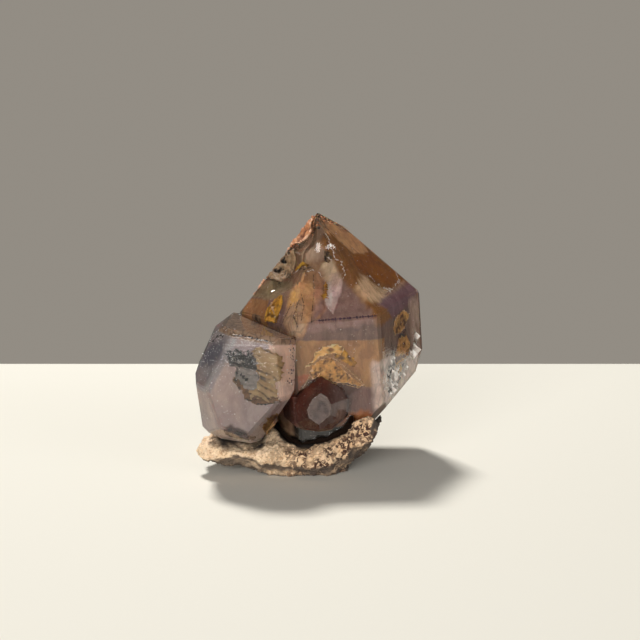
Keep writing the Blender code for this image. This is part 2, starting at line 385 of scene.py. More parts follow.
class Face:
    """A crystal face as a drawing board."""

    def __init__(self, node, towards):
        shape = whole_faces(node)
        wanted = Vector(towards).normalized()
        alike = [f for f in shape.faces if f.normal.dot(wanted) > SAME_WAY]
        found = max(alike, key=lambda f: f.calc_area())
        self.out = found.normal.copy()
        low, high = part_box(node)
        middle = (low + high) / 2
        self.origin = middle - self.out * (middle - found.verts[0].co).dot(self.out)
        self.across = Vector((0, 0, 1)).cross(self.out).normalized()
        self.up = self.out.cross(self.across).normalized()
        self.skin = BVHTree.FromBMesh(shape)
        shape.free()

    def at(self, across, up, out=0.0):
        """A place on the board. Where the face is chipped, it follows the chip inwards."""
        flat = self.origin + (self.across * across + self.up * up) * MM
        _, _, _, distance = self.skin.ray_cast(flat + self.out * FACE_RAY * MM, -self.out)
        sunk = 0.0 if distance is None else distance / MM - FACE_RAY
        return flat + self.out * (out - (sunk if 0 < sunk < DEEPEST_CHIP else 0.0)) * MM

    def seen(self, places):
        """(across and up, out) of places in millimetres."""
        offset = (places - np.array(self.origin)) / MM
        flat = np.stack([offset @ np.array(self.across), offset @ np.array(self.up)], axis=1)
        return flat, offset @ np.array(self.out)


def sheet(name, face, outline, depth, thickness, relief=None, step=0.18, ragged=0.35, seed=1.0):
    """A closed, uneven sheet of matter under a face, with a torn rim. It is a mesh of squares of side
    step, and relief(across, up) raises its front, all in millimetres."""
    corners = np.asarray(outline, float)
    low, high = corners.min(axis=0) - 2 * step, corners.max(axis=0) + 2 * step
    columns = int((high[0] - low[0]) / step) + 1
    rows = int((high[1] - low[1]) / step) + 1
    grid = np.array([(low[0] + i * step, low[1] + j * step) for j in range(rows) for i in range(columns)])
    torn = np.array([(noise.noise(Vector((x, y, seed)) / 0.7), noise.noise(Vector((x, y, seed + 9)) / 0.7))
                     for x, y in grid])
    inner = inside_by(grid + torn * ragged, outline)
    if relief is None:
        rise = np.array([0.22 * noise.noise(Vector((x, y, seed)) / 1.1) for x, y in grid])
    else:
        rise = np.array([relief(x, y) for x, y in grid])
    body = thickness * (0.25 + 0.75 * step_up(0.0, 0.6, inner))
    torn_rim = step_up(0.45, 0.05, inner + 0.25 * torn[:, 0])
    keep = inner > 0
    lowest, span = rise[keep].min(), max(np.ptp(rise[keep]), 1e-6)
    shape = bmesh.new()
    # How high each point stands, kept for the materials' painted shade in the hollows.
    level = shape.verts.layers.float.new("relief")
    rim = shape.verts.layers.float.new("rim")
    index = {}
    for k in np.flatnonzero(keep):
        x, y = grid[k]
        front = shape.verts.new(face.at(x, y, rise[k] - depth))
        back = shape.verts.new(face.at(x, y, rise[k] - depth - body[k]))
        for vert in (front, back):
            vert[level] = (rise[k] - lowest) / span
            vert[rim] = torn_rim[k]
        index[k] = front, back
    edges = set()
    for j in range(rows - 1):
        for i in range(columns - 1):
            k = j * columns + i
            ring = [k, k + 1, k + columns + 1, k + columns]
            if all(corner in index for corner in ring):
                shape.faces.new([index[corner][0] for corner in ring])
                shape.faces.new([index[corner][1] for corner in reversed(ring)])
                edges.update(zip(ring, ring[1:] + ring[:1]))
    for a, b in edges:
        if (b, a) not in edges:
            shape.faces.new([index[b][0], index[a][0], index[a][1], index[b][1]])
    bmesh.ops.delete(shape, geom=[vert for vert in shape.verts if not vert.link_faces], context="VERTS")
    made = as_object(name, shape)
    made.data.shade_smooth()
    return made


def evenly(points, step):
    """Points step apart along a line through the given ones."""
    points = np.asarray(points, float)
    lengths = np.linalg.norm(np.diff(points, axis=0), axis=1)
    travelled = np.concatenate([[0], np.cumsum(lengths)])
    stops = np.linspace(0, travelled[-1], max(3, int(travelled[-1] / step) + 1))
    return np.stack([np.interp(stops, travelled, points[:, i]) for i in (0, 1)], axis=1)


def strips(name, lines, jag):
    """Thin strips under faces, for torn edges, cracks and needles: each (face, points, width, depth).
    The more jag, the further they wander."""
    shape = bmesh.new()
    for number, (face, points, width, depth) in enumerate(lines):
        path = evenly(points, 0.2)
        rings = []
        for i, middle in enumerate(path):
            ahead = path[min(i + 1, len(path) - 1)] - path[max(i - 1, 0)]
            side = np.array((-ahead[1], ahead[0])) / max(np.linalg.norm(ahead), 1e-9)
            wander = noise.noise(Vector((i * 0.55, number * 5.3, 1)))
            taper = min(1.0, 0.25 + 0.35 * min(i, len(path) - 1 - i))
            torn = 0.45 + 2.3 * noise.noise(Vector((i * 0.8, number * 5.3, 8)))
            half = 0.5 * width * taper * max(0.08, torn)
            middle = middle + side * width * jag * wander
            left, right = middle - side * half, middle + side * half
            spots = ((left, 0), (middle, 0.9 * half), (right, 0), (middle, -0.9 * half))
            rings.append([shape.verts.new(face.at(x, y, rise - depth)) for (x, y), rise in spots])
        for first, second in zip(rings, rings[1:]):
            for a, b in ((0, 1), (1, 2), (2, 3), (3, 0)):
                shape.faces.new([first[a], first[b], second[b], second[a]])
        shape.faces.new(rings[0])
        shape.faces.new(rings[-1])
    bmesh.ops.recalc_face_normals(shape, faces=shape.faces)
    return as_object(name, shape)


def finer(shape, finest, coarsest):
    """Divides a mesh's edges until none is too long, with the short ones on what faces the front."""
    bmesh.ops.triangulate(shape, faces=shape.faces)
    for _ in range(MOST_ROUNDS):
        shape.normal_update()
        long_edges = [e for e in shape.edges if e.calc_length() > (
            finest if min(f.normal.y for f in e.link_faces) < -0.15 else coarsest)]
        if not long_edges:
            break
        bmesh.ops.subdivide_edges(shape, edges=long_edges, cuts=1)
        bmesh.ops.triangulate(shape, faces=[f for f in shape.faces if len(f.verts) > 3])


def skin_depth(normal, depth):
    """The skin is thinner on the sides turned away from the front, so that the heart fills the outline."""
    return depth * (BACK_SKIN if normal.y > -0.05 else 1.0) * MM


def heart_of(node, name, depth, finest, coarsest):
    """The cloudy heart of a crystal: its outer faces moved inwards, then kept clear of its chips and seats.
    Its mesh has edges up to finest mm long at the front and up to coarsest mm elsewhere."""
    shape = whole_faces(node)
    skin = BVHTree.FromBMesh(shape)
    heart = bmesh.new()
    bmesh.ops.create_cube(heart, size=1)
    low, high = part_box(node)
    heart.transform(Matrix.Translation((low + high) / 2) @ Matrix.Diagonal((*(high - low), 1)))
    for face in shape.faces:
        point = face.verts[0].co
        beyond = max((vert.co - point).dot(face.normal) for vert in shape.verts)
        if face.calc_area() < SMALLEST_FACE or beyond > 0.05 * MM:
            continue
        everything = heart.verts[:] + heart.edges[:] + heart.faces[:]
        inside = point - face.normal * skin_depth(face.normal, depth)
        cut = bmesh.ops.bisect_plane(heart, geom=everything, plane_co=inside, plane_no=face.normal,
                                     clear_outer=True)
        ring = [item for item in cut["geom_cut"] if isinstance(item, bmesh.types.BMEdge)]
        if ring:
            bmesh.ops.contextual_create(heart, geom=ring)
    shape.free()
    bmesh.ops.remove_doubles(heart, verts=heart.verts, dist=0.02 * MM)
    bmesh.ops.recalc_face_normals(heart, faces=heart.faces)
    finer(heart, finest * MM, coarsest * MM)
    for vert in heart.verts:
        spot, normal, _, _ = skin.find_nearest(vert.co)
        needed = skin_depth(normal, depth)
        if (spot - vert.co).dot(normal) < 0.9 * needed:
            vert.co = spot - normal * needed
    made = as_object(name, heart)
    made.data.shade_smooth()
    made.data.set_sharp_from_angle(angle=math.radians(14))
    return made


def skin_of(node, name, edge_width, dirt_and_shade_reach=1.3):
    """A copy of a crystal with worn edges, and a mesh fine enough to carry the grime and painted shade that
    lie within the given reach, in mm, of the host rock."""
    made = as_object(name, whole_faces(node))
    bevel = made.modifiers.new("worn edges", "BEVEL")
    bevel.width = edge_width * MM
    bevel.segments = 2
    bevel.limit_method = "ANGLE"
    bevel.angle_limit = CREASE
    bake_modifiers(made)
    shape = bmesh.new()
    shape.from_mesh(made.data)
    finer(shape, 0.5 * MM, 0.9 * MM)
    shape.to_mesh(made.data)
    shape.free()
    made.data.shade_smooth()
    made.data.set_sharp_from_angle(angle=math.radians(3))
    places = places_of(made.data)
    rock = surface_of("host_rock")
    near = np.array([rock.find_nearest(Vector(p))[3] for p in places]) / MM
    # Grime and painted shade, by how near each point lies to the host rock, fading out from 6 to 8.5 mm
    # along x.
    dirt_and_shade = step_up(dirt_and_shade_reach, dirt_and_shade_reach - 0.8, near + 0.5 * soft_noise(places, 1.6 * MM, 9.0))
    store(made.data, "dirt_and_shade", dirt_and_shade * step_up(8.5 * MM, 6.0 * MM, places[:, 0]))
    return made


def paint(made, depth, reach, layers, stain):
    """Lays stains over one another: each (face, outline, soft edge in mm, colour), and perhaps how crazed
    it is and how far it stands out of the heart, in mm. They take in what lies up to reach mm below the
    heart's own depth."""
    places = places_of(made.data)
    crazed = np.zeros(len(places))
    shift = np.zeros((len(places), 3))
    torn = np.stack([soft_noise(places, 1.1 * MM, 2.0), soft_noise(places, 1.1 * MM, 5.0)], axis=1)
    rough = soft_noise(places, 0.9 * MM, 13.0)
    for face, outline, feather, colour, *extra in layers:
        craze, rise = (*extra, 0.0, 0.0)[:2]
        flat, out = face.seen(places)
        amount = step_up(-feather, feather, inside_by(flat + torn * min(feather, 0.5), outline))
        amount *= step_up(-depth - reach, -depth - 0.4 * reach, out)
        stain = stain * (1 - amount[:, None]) + np.array(colour) * amount[:, None]
        crazed = crazed * (1 - amount) + craze * amount
        shift += np.outer(amount * rise * (1 + 0.5 * rough), face.out) * MM
    store(made.data, "stain", stain)
    store(made.data, "crazed", crazed)
    made.data.vertices.foreach_set("co", (places + shift).ravel())


def scatter_tree():
    """Grains strewn over a mesh where its "strewn" attribute says, each turned and sized at random."""
    tree = bpy.data.node_groups.new("strewn grains", "GeometryNodeTree")
    face = tree.interface
    face.new_socket("Geometry", in_out="INPUT", socket_type="NodeSocketGeometry")
    face.new_socket("Geometry", in_out="OUTPUT", socket_type="NodeSocketGeometry")
    kinds = {"Density": "Float", "Smallest": "Float", "Largest": "Float", "Lowest": "Float",
             "Highest": "Float", "Squash": "Vector", "Seed": "Int", "Material": "Material"}
    for name, kind in kinds.items():
        face.new_socket(name, in_out="INPUT", socket_type=f"NodeSocket{kind}")
    given = put(tree, "NodeGroupInput").outputs
    strewn = put(tree, "GeometryNodeInputNamedAttribute", {"Name": "strewn"}, data_type="FLOAT")
    density = times(tree, strewn.outputs[0], given["Density"])
    spots = put(tree, "GeometryNodeDistributePointsOnFaces",
                {"Mesh": given["Geometry"], "Density": density, "Seed": given["Seed"]})
    lift = put(tree, "FunctionNodeRandomValue", {2: given["Lowest"], 3: given["Highest"], 8: given["Seed"]})
    along = put(tree, "ShaderNodeVectorMath", {0: spots.outputs["Normal"], "Scale": lift.outputs[1]},
                operation="SCALE")
    lifted = put(tree, "GeometryNodeSetPosition",
                 {"Geometry": spots.outputs["Points"], "Offset": along.outputs[0]})
    ball = put(tree, "GeometryNodeMeshIcoSphere", {"Radius": 0.5, "Subdivisions": 1})
    lump = put(tree, "GeometryNodeTransform", {"Geometry": ball.outputs["Mesh"], "Scale": given["Squash"]})
    turn = put(tree, "FunctionNodeRandomValue", {1: (6.3, 6.3, 6.3), 8: given["Seed"]},
               data_type="FLOAT_VECTOR")
    size = put(tree, "FunctionNodeRandomValue",
               {2: given["Smallest"], 3: given["Largest"], 8: given["Seed"]})
    copies = put(tree, "GeometryNodeInstanceOnPoints",
                 {"Points": lifted.outputs[0], "Instance": lump.outputs[0], "Rotation": turn.outputs[0],
                  "Scale": size.outputs[1]})
    real = put(tree, "GeometryNodeRealizeInstances", {"Geometry": copies.outputs[0]})
    dressed = put(tree, "GeometryNodeSetMaterial",
                  {"Geometry": real.outputs[0], "Material": given["Material"]})
    put(tree, "NodeGroupOutput", {"Geometry": dressed.outputs[0]})
    return tree


def strew(name, base, where, tree, material, slot, **sizes):
    """Strews grains over a copy of a mesh; where holds how thick they lie at each of its points, 0 to 1."""
    made = add_mesh(name, base.data.copy())
    store(made.data, "strewn", where)
    modifier = made.modifiers.new("grains", "NODES")
    modifier.node_group = tree
    sockets = {item.name: item.identifier for item in tree.interface.items_tree if item.in_out == "INPUT"}
    for key, value in {**sizes, "Material": material}.items():
        modifier[sockets[key]] = value
    bake_modifiers(made)
    return finish_piece(made, material, slot)


# ---------------------------------------------------------------- host rock

def crumbled(place):
    """(how deep in its crumb, how high it stands) of a place on the rock, in millimetres."""
    bent = place + 0.5 * MM * noise.noise_vector(place / (1.3 * MM))
    large, _ = noise.voronoi(bent / (0.95 * MM))
    small, _ = noise.voronoi(bent / (0.5 * MM))
    crumb = 0.4 * (large[1] - large[0]) + 0.6 * (small[1] - small[0])
    rugged = noise.fractal(place / (1.2 * MM), 0.8, 2.2, 3)
    return crumb, 0.65 * crumb + 0.30 * rugged - 0.20


def unlit_by(crystals, places, normals):
    """1 at places on top of the rock that the crystals shade closely, 0 at those that they don't."""
    gap = np.full(len(places), NO_SHADE)
    for i in np.flatnonzero(normals[:, 2] > -0.1):
        for tree in crystals:
            hit = tree.ray_cast(Vector(places[i]) + UPWARDS * 0.05 * MM, UPWARDS, SHADE_REACH)
            gap[i] = min(gap[i], NO_SHADE if hit[3] is None else hit[3] / MM)
    return step_up(3.2, 1.2, gap + 0.6 * soft_noise(places, 1.5 * MM, 7.0))


def rock_piece():
    rock = as_object("host_rock_surface", whole_faces("host_rock"))
    remesh = rock.modifiers.new("even mesh", "REMESH")
    remesh.mode = "VOXEL"
    remesh.voxel_size = ROCK_MESH
    bake_modifiers(rock)
    mesh = rock.data
    places = places_of(mesh)
    normals = np.array([v.normal[:] for v in mesh.vertices])
    crumbs, heights = np.array([crumbled(Vector(place)) for place in places]).T
    crystals = [surface_of(name) for name in CRYSTALS]
    near = np.array([min(tree.find_nearest(Vector(p))[3] for tree in crystals) for p in places]) / MM
    heights = heights * step_up(0.3, 1.0, near)
    places += normals * heights[:, None] * MM
    places[:, 2] = np.where(places[:, 2] < ROCK_FOOT, 0.0, places[:, 2])
    mesh.vertices.foreach_set("co", places.ravel())
    mesh.shade_smooth()
    # The depth in each crumb is kept for the painted shade between the grains.
    store(mesh, "relief", crumbs)
    low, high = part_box("host_rock")
    along = (places[:, 0] - low.x) / (high.x - low.x)
    rusty = step_up(0.36, 0.56, along + 0.05 * soft_noise(places, 3 * MM, 4.0))
    store(mesh, "stained", rusty * 0.85 + 0.15)
    # Painted shade: points that face right at the right end, and points that face down, are darkened by the
    # way they face.
    end = step_up(0.35, 0.75, normals[:, 0]) * step_up(0.55, 0.75, along)
    under = step_up(-0.35, -0.8, normals[:, 2])
    store(mesh, "end_and_underside_shade", np.maximum(end, under * 0.9))
    # Painted shade for the crevices: where the crystals hang closely over the rock or come within about a
    # millimetre of it.
    unlit = unlit_by(crystals, places, normals)
    contact_shade = step_up(1.2, 0.5, near + 0.5 * soft_noise(places, 1.5 * MM, 7.0))
    store(mesh, "crevice_shade", np.maximum(unlit, contact_shade))
    return finish_piece(rock, rock_material(), "host_rock", "host_rock")


# ---------------------------------------------------------------- the stout point

def smoky_stain(places, warm, cool, purple, level, seed):
    """Stain of quartz away from the drawn zones: warm and cool smoke, purple round the shoulder."""
    drift = step_up(-0.35, 0.35, soft_noise(places, 9 * MM, seed))[:, None]
    tone = np.array(warm) * drift + np.array(cool) * (1 - drift)
    band = step_up(3.2, 0.4, np.abs(places[:, 2] / MM - level + 2.2 * soft_noise(places, 6 * MM, seed + 4)))
    band = (band * 0.7)[:, None]
    return tone * (1 - band) + np.array(purple) * band


def point_stains(front, right, front_tip, right_tip, left_tip):
    # Painted shade: near black at the foot of the front face, where it goes down into the dark crevices at
    # the rock.
    foot_shade = (0.025, 0.014, 0.010)
    return [
        (front, [(-9.5, 4.5), (6.9, 5.2), (7.2, -0.9), (-8.8, -0.7)], 0.2, (0.262, 0.158, 0.128)),
        (front, [(-8.8, 2.0), (5.9, 2.6), (2.5, 0.9), (-4, 1.2)], 0.6, (0.19, 0.115, 0.115)),
        (front, [(-9, -0.7), (8, -0.8), (8, -9.6), (4.3, -9.6), (-2, -7.5), (-9, -8.2)], 0.12,
            (0.56, 0.30, 0.122)),
        (front, [(-10, -7.6), (-5.8, -6.8), (-11.2, -15.2), (-14, -13.6)], 0.25, (0.68, 0.23, 0.10)),
        (front, [(-5.0, -7.4), (-2.8, -7.9), (0.1, -8.6), (3.6, -9.5), (2.5, -11), (-1.9, -12.6),
            (-6, -18), (-11, -15.4), (-9.6, -13.6)], 0.2, (0.12, 0.034, 0.019)),
        (front, [(0, -13), (1.1, -11.3), (3.5, -9.7), (8, -9.7), (8, -14.2), (5.2, -15.3)], 0.45,
            (0.26, 0.135, 0.115)),
        (front, [(-1.9, -14.8), (3.8, -14.1), (7, -15.3), (7, -20), (-6, -20), (-2.7, -16.8)], 0.6,
            (0.60, 0.19, 0.05)),
        # Painted shade at the foot of the front face.
        (front, [(-14, -14.6), (-10, -16.2), (-5, -17.4), (3, -16.6), (5, -16.0), (7, -22), (-14, -22)],
            0.4, foot_shade),
        (front_tip, [(1.2, 9), (9, -6), (-7, -8), (-6, -3), (-2, 3)], 0.4, (0.40, 0.245, 0.215)),
        (front_tip, [(-2.0, 13.5), (-1.2, 9.5), (-0.2, 6.7), (-3, 3.5), (-8, 4.5), (-12, 6.4),
            (-9.3, 8.3), (-4.1, 12.7)], 0.3, (0.45, 0.28, 0.14)),
        (front_tip, [(-2.6, 11.5), (-1.6, 8), (-2.4, 6.8), (-6, 6.8), (-5.6, 9.2)], 0.8,
            (0.62, 0.44, 0.31)),
        (front_tip, [(-9.6, 4.4), (-7.3, 5.2), (-5.6, 5.2), (-7.6, 1.6), (-9.3, 0.8), (-10.5, 2)], 0.3,
            (0.36, 0.26, 0.17)),
        (front_tip, [(-2.4, 6.2), (-0.6, 7), (1.1, 6.1), (1.6, 3.8), (1.3, 2.2), (-1.6, 2.0),
            (-2.6, 3.4), (-3.4, 4.6)], 0.2, (0.92, 0.74, 0.50), 0.0, 0.25),
        (front_tip, [(-5.6, 4.5), (-4.0, 4.8), (-2.8, 4.0), (-2.3, 2.2), (-2.5, -1.5), (-2.5, -3.2),
            (-3.3, -5.6), (-5.4, -6.4), (-6.6, -9), (-11.8, -9.4), (-11.0, -6.0), (-9.9, -2.6),
            (-8.6, 0.8), (-7.2, 3.2)], 0.12, (0.80, 0.47, 0.22), 0.0, 0.5),
        (front_tip, [(-4.0, 5.2), (-2.2, 4.6), (-2.1, -1.4), (-2.2, -4), (-4.4, -6.4), (-4.2, 0)], 0.35,
            (0.66, 0.35, 0.21)),
        (front_tip, [(-2.0, -1.8), (-2.2, -3.0), (-3.6, -5.8), (-6.2, -7.6), (-4.6, -4.4),
            (-3.4, -2.4)], 0.7, (0.41, 0.245, 0.21)),
        (front_tip, [(-8.9, 0.4), (-7.4, 0.2), (-7.2, -2.4), (-8.8, -2.8), (-9.6, -1.4)], 0.4,
            (1.0, 0.66, 0.22)),
        (front_tip, [(-12, -3.4), (-8.4, -3.0), (-6.4, -2.2), (-6.4, -8), (-13, -9)], 0.5,
            (0.64, 0.43, 0.27), 0.4),
        (front_tip, [(-1.6, 2.1), (1.2, 2.4), (0.8, -0.3), (-0.2, -3.1), (-0.9, -4.8), (-2.1, -3.1),
            (-2.3, -1.8), (-1.7, 0.3)], 0.14, (0.82, 0.62, 0.60), 0.0, 0.4),
        (front_tip, [(-1.7, 1.8), (-0.7, 1.9), (-0.9, -1.2), (-1.2, -3.6), (-2.0, -3.0), (-2.1, -1.6)],
            0.25, (1.0, 0.92, 0.90)),
        (front_tip, [(-1.3, 3.6), (1.0, 3.6), (0.7, 1.2), (-1.2, 1.2)], 0.7, (0.92, 0.72, 0.60)),
        (right_tip, [(-5, 17), (5, 14), (13, -5), (-8, -8)], 0.5, (0.37, 0.155, 0.03)),
        (right_tip, [(0.4, 15.8), (6, 13.4), (7.6, 10.1), (5.7, 5.9), (-0.1, 6.7), (-0.7, 7.9),
            (-3.1, 13.7)], 0.2, (0.74, 0.43, 0.20)),
        (right_tip, [(-0.1, 6.5), (5.7, 5.7), (10.2, 0.9), (11.5, -1.7), (4.2, -2.3), (1.9, 0.3),
            (-1.6, 1.7), (-2.9, 4.6)], 0.4, (0.38, 0.125, 0.001)),
        (right_tip, [(-3.2, 2.1), (0.6, -0.5), (2.9, -3.2), (10, -2), (4.8, -4.3), (-4.2, -5),
            (-6.8, -2.7), (-6.6, 0.2)], 0.8, (1.0, 0.74, 0.47)),
        (right_tip, [(-9, 1), (-5.6, 1), (-2, 9), (-3.6, 14)], 0.4, (0.32, 0.135, 0.03)),
        (right, [(-6.4, 3.9), (3.9, 6.2), (12, 5.8), (11.2, 3.1), (5.3, 1.9), (-1.4, 1.0)], 0.5,
            (0.30, 0.16, 0.20)),
        (right, [(-9, -6), (-3, -5.4), (0.8, -7.9), (6, -7.5), (12, -7.6), (9.1, -11.1), (2, -13.3),
            (-11, -15.7), (-11, -10.6)], 0.6, (0.98, 0.82, 0.73), 0.2),
        (right, [(7, 3), (12.5, 3), (12.5, -8), (7.6, -7), (7.4, -2)], 0.8, (0.74, 0.55, 0.45), 0.2),
        (left_tip, [(-6.7, 0.3), (-0.6, 1.8), (1.4, 1.1), (-0.3, -2.3), (-2.5, -3.3), (-8.2, -3.1)],
            0.3, (0.40, 0.30, 0.17)),
        (left_tip, [(-8.4, -3.5), (-2.5, -3.3), (-1.1, -6.3), (2, -9), (-9, -9)], 0.3,
            (0.50, 0.25, 0.095)),
        (left_tip, [(-3, 15), (2, 14), (1, 9), (-2, 6.6), (-6, 6.5)], 0.4, (0.30, 0.20, 0.125)),
    ]


def folded(x, y):
    """A roof of torn sheet: two slopes that meet in a ridge, with rough folds."""
    left, right = y + 1.6 - 0.75 * (x + 2.4), y + 1.6 + 0.72 * (x + 2.4)
    fold = min(abs(left if x < -2.4 else right), 3.0)
    return 0.30 - 0.20 * fold + 0.30 * noise.noise(Vector((x * 0.7, y * 1.5, 0)) / 1.0)


def lumpy(x, y):
    return 0.34 * noise.noise(Vector((x, y, 3)) / 1.1) + 0.22 * noise.noise(Vector((x, y, 5)) / 0.45)


def clods(x, y):
    broad = noise.noise(Vector((x * 0.45, y, 1)) / 1.3)
    return 0.40 * broad + 0.14 * noise.noise(Vector((x * 0.6, y, 6)) / 0.5)


def pitted(x, y):
    broad = noise.noise(Vector((x * 1.4, y * 0.6, 1)) / 1.2)
    return 0.30 * broad + 0.20 * noise.noise(Vector((x, y, 6)) / 0.4)


def main_crystal(grains):
    front = Face("main_crystal", (0.12, -0.99, -0.03))
    right = Face("main_crystal", (0.92, -0.39, 0.05))
    front_tip = Face("main_crystal", (0.05, -0.80, 0.60))
    right_tip = Face("main_crystal", (0.66, -0.32, 0.68))
    left_tip = Face("main_crystal", (-0.67, -0.49, 0.56))
    finish_piece(skin_of("main_crystal", "main_crystal_skin", 0.08),
                 skin_material("smoky amethyst skin", (0.97, 0.93, 0.90), (0.62, 0.46, 0.36), 22, 0.02),
                 "smoky_amethyst", "main_crystal")
    heart = heart_of("main_crystal", "main_crystal_heart", POINT_SKIN, finest=0.29, coarsest=0.8)
    stain = smoky_stain(places_of(heart.data), warm=(0.42, 0.25, 0.15), cool=(0.34, 0.22, 0.17),
                        purple=(0.22, 0.14, 0.17), level=29.5, seed=1.0)
    paint(heart, POINT_SKIN, 1.9, point_stains(front, right, front_tip, right_tip, left_tip), stain)
    cloudy = heart_material("smoky amethyst heart", (0.62, 0.56, 0.54), 1.5 * MM)
    finish_piece(heart, cloudy, "smoky_amethyst")
    point_growths(front, right, front_tip, left_tip)
    point_lines(front, right, front_tip, right_tip, left_tip)
    point_grains(heart, grains, right, left_tip)


def point_growths(front, right, front_tip, left_tip):
    gold = mineral_material("golden iron sheet", (1.0, 0.68, 0.26), (0.84, 0.46, 0.13), 1.5 * MM,
                            (0.26, 0.12, 0.03), rim=(1.0, 0.78, 0.46))
    amber = mineral_material("amber iron film", (0.95, 0.52, 0.05), (0.50, 0.23, 0.012), 1.2 * MM,
                             (0.16, 0.06, 0.01), matt=0.3)
    clay = mineral_material("tan clay", (0.95, 0.54, 0.17), (0.56, 0.27, 0.07), 1.2 * MM,
                            (0.15, 0.05, 0.015), rim=(0.90, 0.62, 0.36))
    iron = mineral_material("dark iron", (0.30, 0.19, 0.10), (0.13, 0.07, 0.03), 0.9 * MM,
                            (0.015, 0.008, 0.005))
    crust = mineral_material("orange iron crust", (0.62, 0.28, 0.125), (0.33, 0.12, 0.045), 0.8 * MM,
                             (0.14, 0.045, 0.02), rim=(0.85, 0.50, 0.32), matt=0.6)
    right_half = [(-1.9, -3.5), (0.3, -2.2), (1.2, -3.3), (2.8, -4.8), (2.0, -6.1), (0, -4.7)]
    listed = [
        ("roof_sheet", front, [(-7.2, -5.5), (-5.6, -4.2), (-5, -2.6), (-3.6, -1.6), (-1.1, -1.3),
            (0.5, -2.0), (-0.4, -3.4), (-1.9, -3.2), (-4.2, -3.6), (-5.6, -5.2)], 0.45, 0.4, folded,
            gold),
        ("roof_side", front, right_half, 0.62, 0.35, None, amber),
        ("roof_fill", front, [(-6.2, -6.6), (-5.6, -5.2), (-4.2, -4.0), (-1.9, -3.8), (1.2, -7.1),
            (4.3, -9.6), (0.1, -8.9), (-1.9, -8.7), (-4.2, -7.5), (-5.8, -8.2)], 0.75, 0.35, pitted,
            clay),
        ("clay_above", right, [(-0.6, 1.1), (3.5, 1.8), (6.8, 0.4), (4.9, -1.4), (1.4, -2.5),
            (-1.8, -2.2), (-2.5, -0.6)], 0.5, 0.5, clods, clay),
        ("clay_below", right, [(0.5, -3.0), (4.7, -3.2), (7, -5.6), (5.1, -7.5), (1.7, -7.9),
            (-1.6, -8), (-2.3, -6.1), (-0.5, -4.5)], 0.5, 0.5, clods, clay),
        ("clay_drop", right, [(-2, -7.9), (1.3, -8.2), (1.7, -9.7), (-1, -9.8), (-2.5, -8.9)], 0.4, 0.5,
            None, gold),
        ("dark_hole", front_tip, [(-1.9, 8.6), (-0.9, 8.4), (-0.5, 7), (-1.2, 5.8), (-2.0, 6.7)], 0.4,
            0.3, pitted, iron),
        ("amber_lens", front_tip, [(-7.5, 5.5), (-7.1, 6.4), (-5.7, 6.5), (-4.4, 5.6), (-6, 5.4)], 0.2,
            0.4, None, amber),
        ("gold_pocket", left_tip, [(-1.6, -4.5), (-0.3, -2.3), (0.8, -1.2), (2.4, -3.2), (3.3, -6.9),
            (-0.8, -7.3)], 0.6, 0.4, None, amber),
        ("red_hole", left_tip, [(-5, -7.4), (-4.6, -6.3), (-2.4, -6.6), (-1.5, -7.5), (-3.8, -7.6)],
            0.4, 0.3, None, iron),
        ("iron_lumps", left_tip, [(-6.4, 5), (-3.6, 6.9), (-1.6, 7.5), (-0.7, 5.7), (-0.6, 3.1),
            (-2.3, 0.9), (-6.1, 0.6), (-6.2, 3.3)], -0.15, 0.8, lumpy, iron),
        ("upper_crust", left_tip, [(-2.7, 14.2), (-0.8, 14), (0.3, 11.4), (-1.5, 9.4), (-4.2, 7.0),
            (-4.6, 8.8), (-3.2, 11.7)], -0.55, 1.1, lumpy, crust),
        ("lower_crust", left_tip, [(-7.2, 0.6), (-5.6, 0.5), (-6.5, -2.0), (-8.2, -3.4)], -0.35, 0.9,
            lumpy, crust),
    ]
    for name, face, outline, depth, thickness, relief, material in listed:
        finish_piece(sheet(name, face, outline, depth, thickness, relief), material, "smoky_amethyst")


def streaks(face, seed, count, outline, length, width):
    """Slanting streaks of etched glass, strewn over a part of a face."""
    pick = random.Random(seed)
    low, high = np.min(outline, axis=0), np.max(outline, axis=0)
    made = []
    while len(made) < count:
        middle = np.array((pick.uniform(low[0], high[0]), pick.uniform(low[1], high[1])))
        lean = math.radians(24 + pick.uniform(-8, 8))
        reach = 0.5 * pick.uniform(*length) * np.array((math.cos(lean), math.sin(lean)))
        bend = np.array((1, -1)) * pick.uniform(-0.3, 0.3)
        points = np.array([middle - reach, middle + bend, middle + reach])
        if inside_by(points, outline).min() > 0:
            made.append((face, points, width * pick.uniform(0.5, 1.2), pick.uniform(0.3, 0.8)))
    return made


